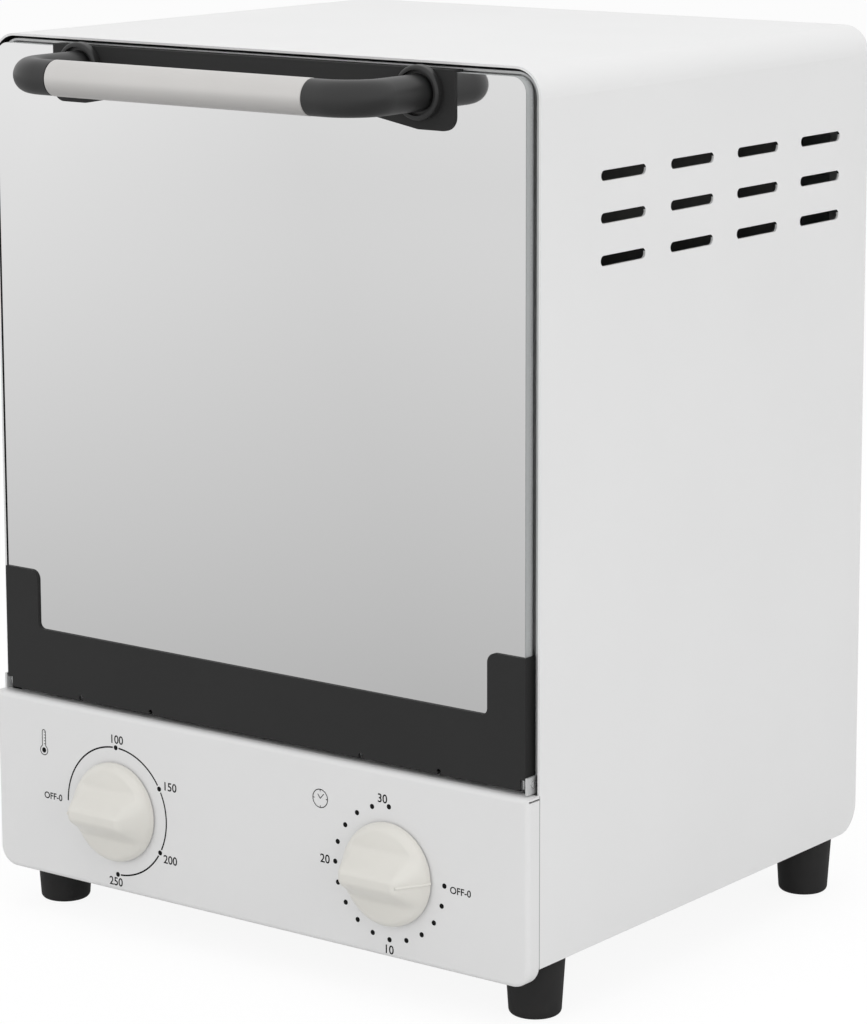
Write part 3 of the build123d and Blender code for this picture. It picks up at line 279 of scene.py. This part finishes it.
# Zinc-plated steel: bluish grey, lightly clouded
zincSpec = {"name": "zincPlate", "colour": "#C6C8CA", "shade": "#AEB0B2", "cloudMm": 12.0,
            "lineMm": (0.6, 0.6, 0.6), "depthMm": 0.004, "roughness": (0.34, 0.5)}
zincPlate = brushedFinish(zincSpec)
dress(zincPlate, "base_plate", "rear_bulkhead", "timer_body", "control_screws", "cover_screws",
      "foot_screws", "foot_nuts", "handle_screws", "handle_washers", "frame_rivets", "heater_terminals",
      "door_spring_left", "door_spring_right")

# Chrome-plated wire: bright, with faint drawing lines
chromeSpec = {"name": "chromeWire", "colour": "#E2E3E4", "shade": "#D6D7D8", "cloudMm": 20.0,
              "lineMm": (0.8, 0.8, 0.8), "depthMm": 0.002, "roughness": (0.08, 0.16)}
dress(brushedFinish(chromeSpec), "wire_rack")

# Spun brass bell
brassSpec = {"name": "spunBrass", "colour": "#C9A45C", "shade": "#B48F4B", "cloudMm": 10.0,
             "lineMm": (0.4, 3.0, 0.4), "depthMm": 0.003, "roughness": (0.25, 0.4)}
dress(brushedFinish(brassSpec), "timer_bell")

# Frosted quartz heater tube: milky, slightly grey
quartzSpec = {"name": "frostedQuartz", "colour": "#E0DEDA", "shade": "#CFCBC4", "cloudMm": 8.0,
              "grainMm": 0.5, "depthMm": 0.004, "roughness": (0.25, 0.4), "edgeMm": 0.2}
dress(coatedFinish(quartzSpec), "heater_tubes")

# Steatite ceramic bushes: cream, chalky
ceramicSpec = {"name": "steatite", "colour": "#EAE4D6", "shade": "#DDD5C4", "cloudMm": 5.0,
               "grainMm": 0.3, "depthMm": 0.015, "roughness": (0.6, 0.75), "edgeMm": 0.2}
dress(coatedFinish(ceramicSpec), "heater_bushes")

# Phenolic thermostat case: tan, moulded
phenolicSpec = {"name": "phenolicTan", "colour": "#B5A98F", "shade": "#A6987C", "cloudMm": 6.0,
                "grainMm": 0.4, "depthMm": 0.01, "roughness": (0.45, 0.6), "edgeMm": 0.3}
dress(coatedFinish(phenolicSpec), "thermostat_body")

# Polyamide terminal block: natural white, slightly waxy
blockSpec = {"name": "polyamideNatural", "colour": "#E6E4DC", "shade": "#DEDBD0", "cloudMm": 8.0,
             "grainMm": 0.5, "depthMm": 0.006, "roughness": (0.4, 0.5), "edgeMm": 0.3}
dress(coatedFinish(blockSpec), "terminal_block")


def mirrorFinish(spec):
    # the faces mirror without a tint, the ground edges are grey and dull
    material, tree, where, surface = startMaterial(spec["name"])
    facing = next(n for n in tree.nodes if n.type == "TEX_COORD").outputs["Normal"]
    axes = addNode(tree, "ShaderNodeSeparateXYZ", links={"Vector": facing})
    square = addNode(tree, "ShaderNodeMath", {"operation": "ABSOLUTE"}, {0: axes.outputs["Y"]})
    silvered = addNode(tree, "ShaderNodeMath", {"operation": "GREATER_THAN", 1: 0.5},
                       {0: square.outputs["Value"]})
    smears = addNode(tree, "ShaderNodeTexNoise", {"Scale": perMetre(spec["smearMm"]), "Detail": 3.0},
                     {"Vector": where})
    grind = addNode(tree, "ShaderNodeTexNoise", {"Scale": perMetre(spec["grindMm"]), "Detail": 2.0},
                    {"Vector": where})
    # the grey ground edge is painted from a dark front arris, painted shade, to a bright back one, a
    # painted highlight
    low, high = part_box("door_glass")
    depth = addNode(tree, "ShaderNodeSeparateXYZ", links={"Vector": where})
    share = addNode(tree, "ShaderNodeMapRange", {"From Min": low[1], "From Max": high[1]},
                    {"Value": depth.outputs["Y"]})
    across = addNode(tree, "ShaderNodeValToRGB", links={"Fac": share.outputs["Result"]})
    stops = across.color_ramp.elements
    stops[0].color = fromHex(spec["edge"][0][1])
    stops[-1].color = fromHex(spec["edge"][-1][1])
    for place, colour in spec["edge"][1:-1]:
        stops.new(place).color = fromHex(colour)
    ground = addNode(tree, "ShaderNodeMix", {"data_type": "RGBA", 7: fromHex(spec["edgeShade"])},
                     {0: grind.outputs["Fac"], 6: across.outputs["Color"]})
    tone = addNode(tree, "ShaderNodeMix", {"data_type": "RGBA", 7: fromHex(spec["silver"])},
                   {0: silvered.outputs["Value"], 6: ground.outputs[2]})
    haze = addNode(tree, "ShaderNodeMapRange",
                   {"To Min": spec["roughness"][0], "To Max": spec["roughness"][1]},
                   {"Value": smears.outputs["Fac"]})
    gloss = addNode(tree, "ShaderNodeMix", {"data_type": "FLOAT", 2: spec["edgeRoughness"]},
                    {0: silvered.outputs["Value"], 3: haze.outputs["Result"]})
    tree.links.new(tone.outputs[2], surface.inputs["Base Color"])
    tree.links.new(gloss.outputs[0], surface.inputs["Roughness"])
    tree.links.new(silvered.outputs["Value"], surface.inputs["Metallic"])
    return material


# Float glass, silvered: clear reflections with a trace of smears, edges ground by hand
mirror = {"name": "silveredFloatGlass", "silver": "#E7E7E7", "edgeShade": "#BCBFBF", "smearMm": 45.0,
          # the edge stops are painted shade at the front arris and a painted highlight near the back one
          "edge": ((0.0, "#8E9090"), (0.2, "#C2C5C5"), (0.55, "#CED1D1"), (0.7, "#F0F2F2"),
                   (1.0, "#DADCDC")),
          "grindMm": 0.6, "roughness": (0.02, 0.05), "edgeRoughness": 0.25}
dress(mirrorFinish(mirror), "door_glass")
print("finishes done")


# knobs: a round-shouldered dome that swells into a grip ridge, with a thin pointer line at one end

knobShape = {"rim": 0.8, "shoulder": 3.2, "dome": 5.4, "ends": (17.0, 10.2), "sides": (9.2, 1.0),
             "rings": 22, "arc": 8, "spokes": 144, "lineFrom": 11.5, "lineWidth": 1.0, "lineHeight": 0.6,
             "lineOut": 0.8, "lineUp": 0.6,
             "lineSection": ((-0.5, 0.0), (-0.25, 0.75), (0.0, 1.0), (0.25, 0.75), (0.5, 0.0))}


def softStep(outer, inner, value):
    share = min(max((outer - value) / (outer - inner), 0.0), 1.0)
    return share * share * (3 - 2 * share)


def knobMesh(name, shaft, side):
    # skin of revolution, raised to the ridge along x, heights in millimetres above the knob's back
    low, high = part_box(name)
    shaftLow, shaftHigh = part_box(shaft)
    centre = [(a + b) / 2 for a, b in zip(shaftLow, shaftHigh)]
    radius = (high[2] - low[2]) / 2 / mm
    top = (high[1] - low[1]) / mm - knobShape["lineHeight"]
    flat = radius - knobShape["shoulder"]
    crown = knobShape["rim"] + knobShape["shoulder"]
    profile = []
    for i in range(1, knobShape["rings"] + 1):
        share = i / knobShape["rings"]
        profile.append((flat * share, knobShape["dome"] - (knobShape["dome"] - crown) * share ** 2))
    for i in range(1, knobShape["arc"] + 1):
        turn = math.pi / 2 * i / knobShape["arc"]
        profile.append((flat + knobShape["shoulder"] * math.sin(turn),
                        knobShape["rim"] + knobShape["shoulder"] * math.cos(turn)))
    mesh = bmesh.new()

    def point(x, z, height):
        return mesh.verts.new((centre[0] + side * x * mm, high[1] - height * mm, centre[2] + z * mm))

    def skin(x, z, level):
        lift = softStep(*knobShape["ends"], abs(x)) * softStep(*knobShape["sides"], abs(z))
        return level + (top - level) * lift

    turns = [2 * math.pi * i / knobShape["spokes"] for i in range(knobShape["spokes"])]
    rings = []
    for reach, level in profile:
        spots = [(reach * math.cos(turn), reach * math.sin(turn)) for turn in turns]
        rings.append([point(x, z, skin(x, z, level)) for x, z in spots])
    rings.append([point(radius * math.cos(turn), radius * math.sin(turn), 0.0) for turn in turns])
    middle = point(0.0, 0.0, top)
    for i in range(knobShape["spokes"]):
        mesh.faces.new((middle, rings[0][i - 1], rings[0][i]))
        for inner, outer in zip(rings, rings[1:]):
            mesh.faces.new((inner[i - 1], outer[i - 1], outer[i], inner[i]))
    mesh.faces.new([point(radius * math.cos(turn), radius * math.sin(turn), 0.0) for turn in turns])

    # the pointer line follows the skin from the ridge down to the rim
    sections = []
    under = [pair for pair in profile if pair[0] >= knobShape["lineFrom"]]
    for reach, level in under + [(radius, 0.0)]:
        height = skin(reach, 0.0, level) if level else 0.0
        section = []
        for across, share in knobShape["lineSection"]:
            lift = share * knobShape["lineHeight"]
            section.append(point(reach + knobShape["lineOut"] * lift, across * knobShape["lineWidth"],
                                 height + knobShape["lineUp"] * lift))
        sections.append(section)
    for a, b in zip(sections, sections[1:]):
        for i in range(len(a) - 1):
            mesh.faces.new((a[i], b[i], b[i + 1], a[i + 1]))
    mesh.faces.new(sections[0])
    bmesh.ops.recalc_face_normals(mesh, faces=mesh.faces)
    data = bpy.data.meshes.new(name + "Shell")
    mesh.to_mesh(data)
    mesh.free()
    data.polygons.foreach_set("use_smooth", [len(face.vertices) < 5 for face in data.polygons])
    return data


for name, shaft, side, body in (("temperature_knob", "thermostat_shaft", -1, "temperature_control"),
                                ("timer_knob", "timer_shaft", 1, "timer_control")):
    shell = newPiece(body.split("_")[0] + "KnobShell", knobMesh(name, shaft, side), knobAbs, body)
    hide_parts(name)
print("knobs done")


# dial print on the control panel, drawn in millimetres from its middle and its lower edge

dialInk = {"lift": 0.03, "colour": "#060606", "capHeight": 2.9, "smallCap": 2.3, "weight": 0.05,
           "dot": 1.75, "line": 0.55, "gap": 1.3}
fontCap = 0.7  # cap height of the built-in font at size 1


def flatText(mesh, words, x, z, cap):
    # the words as flat faces, centred on x, z of the panel
    curve = bpy.data.curves.new("words", "FONT")
    curve.body = words
    curve.size = cap / fontCap
    curve.offset = dialInk["weight"]
    curve.align_x = "CENTER"
    curve.align_y = "CENTER"
    holder = bpy.data.objects.new("words", curve)
    bpy.context.scene.collection.objects.link(holder)
    bpy.context.view_layer.update()
    flat = bpy.data.meshes.new_from_object(holder.evaluated_get(bpy.context.evaluated_depsgraph_get()))
    before = len(mesh.verts)
    mesh.from_mesh(flat)
    mesh.verts.ensure_lookup_table()
    fresh = mesh.verts[before:]
    middle = (min(v.co.y for v in fresh) + max(v.co.y for v in fresh)) / 2
    for vert in fresh:
        vert.co = Vector((vert.co.x + x, 0.0, vert.co.y - middle + z))
    bpy.data.objects.remove(holder)
    bpy.data.curves.remove(curve)
    bpy.data.meshes.remove(flat)


def flatDisc(mesh, x, z, radius, steps=32):
    ring = [mesh.verts.new((x + radius * math.cos(2 * math.pi * i / steps), 0.0,
                            z + radius * math.sin(2 * math.pi * i / steps))) for i in range(steps)]
    mesh.faces.new(ring)


def flatArc(mesh, x, z, radius, width, start, end):
    # line of constant width along an arc, angles in degrees, anticlockwise from the right
    steps = max(4, int(abs(end - start) / 2))
    pairs = []
    for i in range(steps + 1):
        turn = math.radians(start + (end - start) * i / steps)
        pairs.append([mesh.verts.new((x + r * math.cos(turn), 0.0, z + r * math.sin(turn)))
                      for r in (radius - width / 2, radius + width / 2)])
    for a, b in zip(pairs, pairs[1:]):
        mesh.faces.new((a[0], a[1], b[1], b[0]))


def flatLine(mesh, x0, z0, x1, z1, width):
    along = Vector((x1 - x0, 0.0, z1 - z0)).normalized()
    side = Vector((-along.z, 0.0, along.x)) * width / 2
    ends = [Vector((x0, 0.0, z0)), Vector((x1, 0.0, z1))]
    corners = (ends[0] - side, ends[0] + side, ends[1] + side, ends[1] - side)
    mesh.faces.new([mesh.verts.new(corner) for corner in corners])


def finishPrint(name, mesh):
    # drawn in millimetres on the panel's face, then set in metres just in front of it
    for vert in mesh.verts:
        vert.co = Vector((vert.co.x * mm, panelFace - dialInk["lift"] * mm, panelFoot + vert.co.z * mm))
    bmesh.ops.recalc_face_normals(mesh, faces=mesh.faces)
    data = bpy.data.meshes.new(name)
    mesh.to_mesh(data)
    mesh.free()
    for face in data.polygons:
        if face.normal.y > 0:
            face.flip()
    return newPiece(name, data, inkPrint, "shell")


# Screen-printed epoxy ink: black, thin, a little uneven where the mesh laid it down
inkSpec = {"name": "screenPrintInk", "colour": dialInk["colour"], "shade": "#101010", "cloudMm": 1.5,
           "grainMm": 0.2, "depthMm": 0.004, "roughness": (0.5, 0.65), "edgeMm": 0.02, "shine": 0.15}
inkPrint = coatedFinish(inkSpec)

timerDial = {"x": 59.3, "z": 28.7, "radius": 22.45, "step": 18, "marks": 16,
             "words": [("OFF-0", 88.2, 27.9, "smallCap"), ("10", 59.0, 2.9, "capHeight"),
                       ("20", 32.5, 28.8, "capHeight"), ("30", 56.6, 53.5, "capHeight")]}
drawing = bmesh.new()
for index in range(timerDial["marks"]):
    turn = math.radians(-timerDial["step"] * index)
    flatDisc(drawing, timerDial["x"] + timerDial["radius"] * math.cos(turn),
             timerDial["z"] + timerDial["radius"] * math.sin(turn), dialInk["dot"] / 2)
for words, x, z, size in timerDial["words"]:
    flatText(drawing, words, x, z, dialInk[size])
finishPrint("timerDialPrint", drawing)

heatDial = {"x": -59.3, "z": 28.7, "radius": 22.55, "dots": (90, 30, -30, -90), "start": 180,
            "words": [("OFF-0", -88.9, 28.9, "smallCap"), ("100", -58.9, 54.2, "capHeight"),
                      ("150", -35.0, 41.4, "capHeight"), ("200", -35.2, 15.6, "capHeight"),
                      ("250", -60.2, 3.5, "capHeight")]}
drawing = bmesh.new()
stops = (heatDial["start"], *heatDial["dots"])
clear = math.degrees(dialInk["gap"] / heatDial["radius"])
for high, low in zip(stops, stops[1:]):
    first = high if high == heatDial["start"] else high - clear
    flatArc(drawing, heatDial["x"], heatDial["z"], heatDial["radius"], dialInk["line"], first,
            low + clear)
for angle in heatDial["dots"]:
    turn = math.radians(angle)
    flatDisc(drawing, heatDial["x"] + heatDial["radius"] * math.cos(turn),
             heatDial["z"] + heatDial["radius"] * math.sin(turn), dialInk["dot"] / 2)
for words, x, z, size in heatDial["words"]:
    flatText(drawing, words, x, z, dialInk[size])
finishPrint("temperatureDialPrint", drawing)

clockIcon = {"x": 30.7, "z": 49.0, "radius": 3.1, "line": 0.3, "tick": 0.7,
             "hands": ((-35, 1.7), (42, 2.3))}  # angle from twelve o'clock and length of each hand
drawing = bmesh.new()
flatArc(drawing, clockIcon["x"], clockIcon["z"], clockIcon["radius"], clockIcon["line"], 0, 360)
for quarter in range(4):
    turn = math.radians(90 * quarter)
    inner, outer = clockIcon["radius"] - clockIcon["tick"], clockIcon["radius"]
    flatLine(drawing, clockIcon["x"] + inner * math.cos(turn), clockIcon["z"] + inner * math.sin(turn),
             clockIcon["x"] + outer * math.cos(turn), clockIcon["z"] + outer * math.sin(turn),
             clockIcon["line"])
for angle, reach in clockIcon["hands"]:
    turn = math.radians(90 - angle)
    flatLine(drawing, clockIcon["x"], clockIcon["z"], clockIcon["x"] + reach * math.cos(turn),
             clockIcon["z"] + reach * math.sin(turn), clockIcon["line"])
finishPrint("clockPrint", drawing)

heatIcon = {"x": -92.8, "bulb": 44.9, "bulbRadius": 1.7, "core": 0.95, "top": 52.2, "half": 0.75,
            "line": 0.3, "opening": (118, 422), "neck": 0.88, "ticks": 5, "tickStart": 0.8,
            "tickStep": 1.05, "tickLine": 0.7}
drawing = bmesh.new()
flatArc(drawing, heatIcon["x"], heatIcon["bulb"], heatIcon["bulbRadius"], heatIcon["line"],
        *heatIcon["opening"])
flatDisc(drawing, heatIcon["x"], heatIcon["bulb"], heatIcon["core"])
neck = heatIcon["bulb"] + heatIcon["bulbRadius"] * heatIcon["neck"]
for side in (-1, 1):
    edgeX = heatIcon["x"] + side * heatIcon["half"]
    flatLine(drawing, edgeX, neck, edgeX, heatIcon["top"] - heatIcon["half"], heatIcon["line"])
flatArc(drawing, heatIcon["x"], heatIcon["top"] - heatIcon["half"], heatIcon["half"],
        heatIcon["line"], 0, 180)
for index in range(heatIcon["ticks"]):
    level = neck + heatIcon["tickStart"] + index * heatIcon["tickStep"]
    flatLine(drawing, heatIcon["x"], level, heatIcon["x"] + heatIcon["half"], level,
             heatIcon["line"] * heatIcon["tickLine"])
finishPrint("thermometerPrint", drawing)
print("dial print done")


# floor, light and camera

stageSpec = {"size": 12.0, "drop": 0.0002, "floor": "#F2F2F2", "seen": 0.88, "glow": 1.03,
             "nearGlow": 0.815, "nearest": 0.1, "fall": 0.183, "lean": (-0.35, 0.3, 0.0), "leanMost": 0.06}
half = stageSpec["size"] / 2
floorMesh = bpy.data.meshes.new("floor")
floorMesh.from_pydata([(-half, -half, 0), (half, -half, 0), (half, half, 0), (-half, half, 0)], [],
                      [(0, 1, 2, 3)])
floor = bpy.data.objects.new("floor", floorMesh)
bpy.context.scene.collection.objects.link(floor)
floor.location.z = -stageSpec["drop"]


def rayIsSeen(tree):
    # 1 for rays from the camera, in reflections and through clear things
    path = addNode(tree, "ShaderNodeLightPath")
    seen = addNode(tree, "ShaderNodeMath", {"operation": "MAXIMUM"},
                   {0: path.outputs["Is Camera Ray"], 1: path.outputs["Is Glossy Ray"]})
    return addNode(tree, "ShaderNodeMath", {"operation": "MAXIMUM"},
                   {0: seen.outputs["Value"], 1: path.outputs["Is Transmission Ray"]}).outputs["Value"]


floorMaterial = bpy.data.materials.new("paperFloor")
floorMaterial.use_nodes = True
tree = floorMaterial.node_tree
tree.nodes.clear()
paper = addNode(tree, "ShaderNodeBsdfDiffuse", {"Color": fromHex(stageSpec["floor"])})
# painted shade in reflections: the floor's glow is dimmer close to the object, following the distance to
# the panel
spot = addNode(tree, "ShaderNodeNewGeometry")
axes = addNode(tree, "ShaderNodeSeparateXYZ", links={"Vector": spot.outputs["Position"]})
away = addNode(tree, "ShaderNodeMath", {"operation": "SUBTRACT", 0: panelFace}, {1: axes.outputs["Y"]})
clearOf = addNode(tree, "ShaderNodeMath", {"operation": "MAXIMUM", 1: stageSpec["nearest"]},
                  {0: away.outputs["Value"]})
decades = addNode(tree, "ShaderNodeMath", {"operation": "LOGARITHM", 1: math.e},
                  {0: clearOf.outputs["Value"]})
dimmed = addNode(tree, "ShaderNodeMath", {"operation": "MULTIPLY_ADD", 1: stageSpec["fall"],
                                          2: stageSpec["nearGlow"]}, {0: decades.outputs["Value"]})
# and a little more painted light on the left than on the right
lean = addNode(tree, "ShaderNodeVectorMath", {"operation": "DOT_PRODUCT", 1: stageSpec["lean"]},
               {0: spot.outputs["Position"]})
tilt = addNode(tree, "ShaderNodeClamp", {"Min": -stageSpec["leanMost"], "Max": stageSpec["leanMost"]},
               {"Value": lean.outputs["Value"]})
summed = addNode(tree, "ShaderNodeMath", {"operation": "ADD"},
                 {0: dimmed.outputs["Value"], 1: tilt.outputs["Result"]})
mirrored = addNode(tree, "ShaderNodeMath", {"operation": "MINIMUM", 1: stageSpec["glow"]},
                   {0: summed.outputs["Value"]})
path = addNode(tree, "ShaderNodeLightPath")
strength = addNode(tree, "ShaderNodeMix", {"data_type": "FLOAT", 2: stageSpec["glow"]},
                   {0: path.outputs["Is Glossy Ray"], 3: mirrored.outputs["Value"]})
glow = addNode(tree, "ShaderNodeEmission", {"Color": (1, 1, 1, 1)}, {"Strength": strength.outputs[0]})
share = addNode(tree, "ShaderNodeMath", {"operation": "MULTIPLY", 1: stageSpec["seen"]},
                {0: rayIsSeen(tree)})
blend = addNode(tree, "ShaderNodeMixShader", links={0: share.outputs["Value"], 1: paper.outputs["BSDF"],
                                                    2: glow.outputs["Emission"]})
addNode(tree, "ShaderNodeOutputMaterial", links={"Surface": blend.outputs["Shader"]})
floorMesh.materials.append(floorMaterial)

worldSpec = {"light": 0.62, "seen": 1.0}
world = bpy.data.worlds.new("studio")
bpy.context.scene.world = world
world.use_nodes = True
tree = world.node_tree
tree.nodes.clear()
level = addNode(tree, "ShaderNodeMapRange", {"To Min": worldSpec["light"], "To Max": worldSpec["seen"]},
                {"Value": rayIsSeen(tree)})
sky = addNode(tree, "ShaderNodeBackground", {"Color": (1, 1, 1, 1)},
              {"Strength": level.outputs["Result"]})
addNode(tree, "ShaderNodeOutputWorld", links={"Surface": sky.outputs["Background"]})

# name, place, aimed at, size, power in watts
softLights = [("topSoftbox", (0.1, -0.1, 1.5), (0.0, 0.0, 0.2), 1.4, 6.2),
              ("rightSoftbox", (1.6, -0.4, 0.7), (0.0, 0.0, 0.15), 1.2, 6.0),
              ("frontSoftbox", (-0.5, -1.7, 0.9), (0.0, 0.0, 0.15), 1.2, 5.0)]
for name, place, aim, size, power in softLights:
    lamp = bpy.data.lights.new(name, "AREA")
    lamp.size = size
    lamp.energy = power
    holder = bpy.data.objects.new(name, lamp)
    holder.location = place
    holder.rotation_euler = (Vector(aim) - Vector(place)).to_track_quat("-Z", "Y").to_euler()
    holder.visible_camera = False
    holder.visible_glossy = False
    bpy.context.scene.collection.objects.link(holder)

cameraSpec = {"place": (0.7862, panelFace - 0.93041, panelFoot + 0.39844),
              "turn": (79.5684, 0.1505, 37.2547), "lens": 132.908, "sensor": 36.0, "shiftY": -0.09766,
              "reach": 50.0}
cameraData = bpy.data.cameras.new("camera")
cameraData.lens = cameraSpec["lens"]
cameraData.sensor_width = cameraSpec["sensor"]
cameraData.shift_y = cameraSpec["shiftY"]
cameraData.clip_end = cameraSpec["reach"]
camera = bpy.data.objects.new("camera", cameraData)
camera.location = cameraSpec["place"]
camera.rotation_euler = [math.radians(angle) for angle in cameraSpec["turn"]]
bpy.context.scene.collection.objects.link(camera)
bpy.context.scene.camera = camera
bpy.context.scene.view_settings.view_transform = "Standard"
print("stage, lights and camera done")
